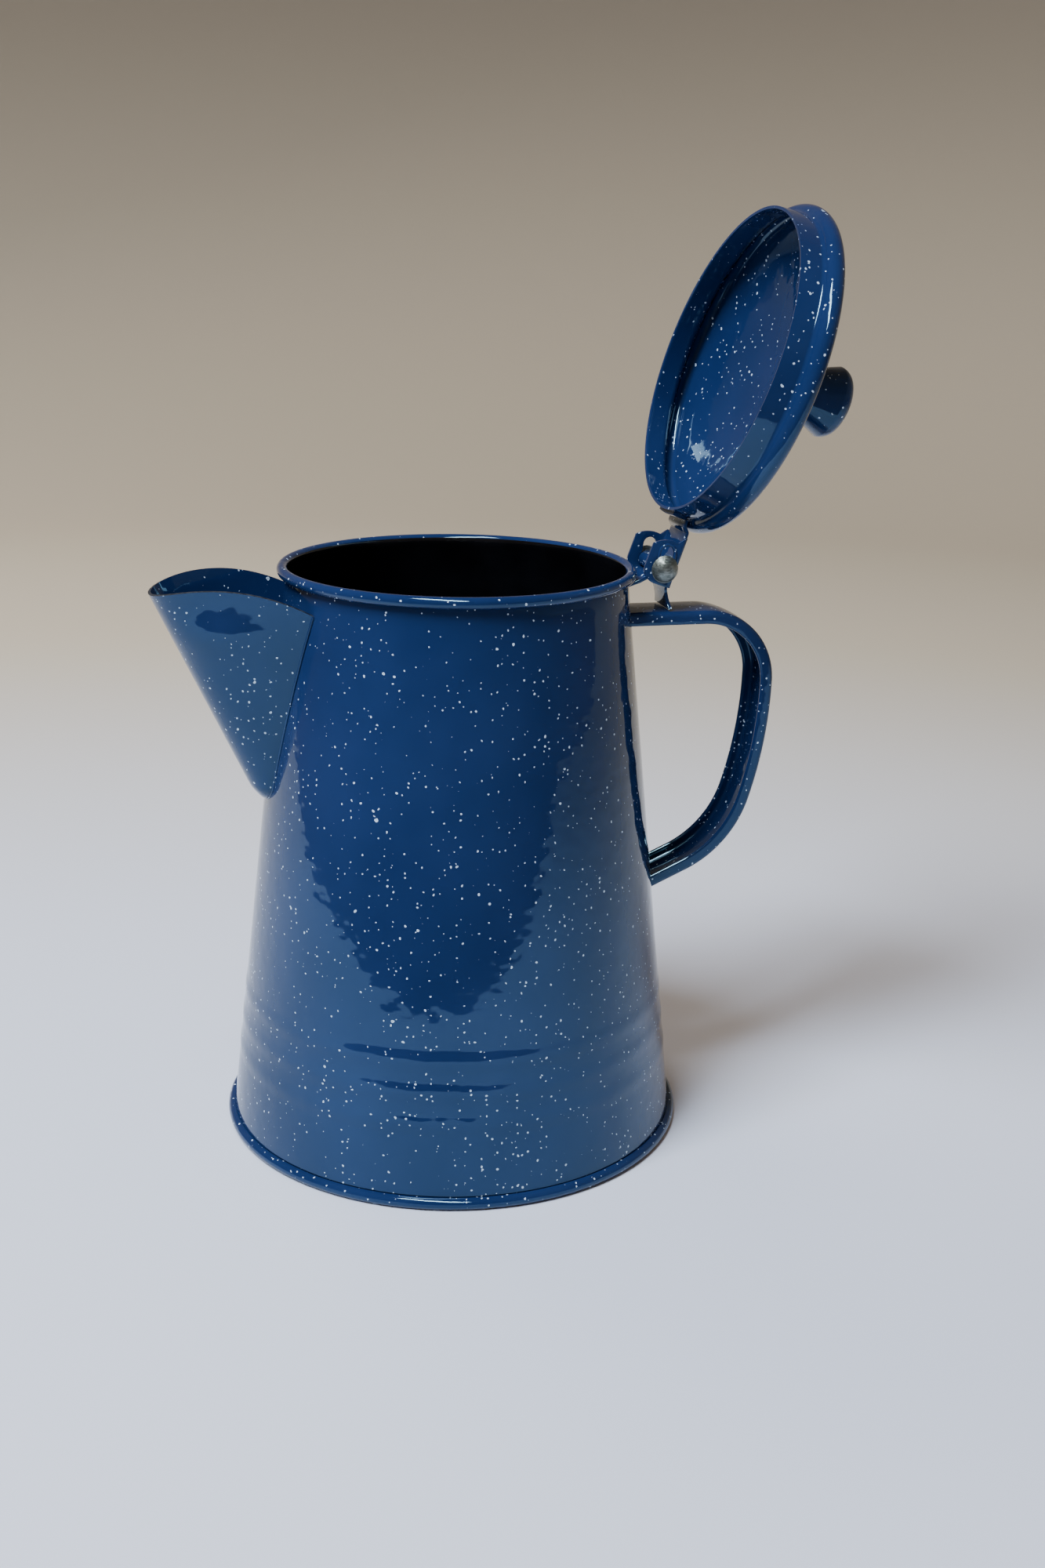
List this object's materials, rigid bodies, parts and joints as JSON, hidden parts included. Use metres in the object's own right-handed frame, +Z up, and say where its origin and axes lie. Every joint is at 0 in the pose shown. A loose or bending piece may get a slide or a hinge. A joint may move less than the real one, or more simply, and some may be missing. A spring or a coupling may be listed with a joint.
{
  "type": "coffee pot",
  "caption": "enamelled steel coffee pot: tapering body with a wide pouring spout, strap handle and a domed lid that swings on a riveted hinge until its tail rests on the handle",
  "frame": {"origin": "on the pot's axis, at the surface it stands on", "axes": "+Z up, along the pot's axis; +X from the axis towards the handle and the lid's hinge; the spout points along -X; the hinge pin lies along Y"},
  "size_m": [0.2363, 0.1602, 0.3117],
  "materials": {
    "blue_enamel": "glossy deep blue vitreous enamel with white speckles on sheet steel",
    "rivet_aluminium": "bare metal, dull"
  },
  "bodies": {
    "pot": {"body_shell": "blue_enamel", "base_pan": "blue_enamel", "spout_shell": "blue_enamel", "handle_strap": "blue_enamel", "hinge_bracket": "blue_enamel", "hinge_rivet": "rivet_aluminium"},
    "lid": {"lid_hinge_leaf": "blue_enamel", "lid_shell": "blue_enamel", "lid_knob": "blue_enamel"}
  },
  "joints": [
    {"name": "lid_hinge", "type": "hinge", "parent": "pot", "child": "lid", "pos_m": [0.069, 0, 0.1938], "axis": [0, 1, 0], "range_deg": [-109.8, 0]}
  ]
}
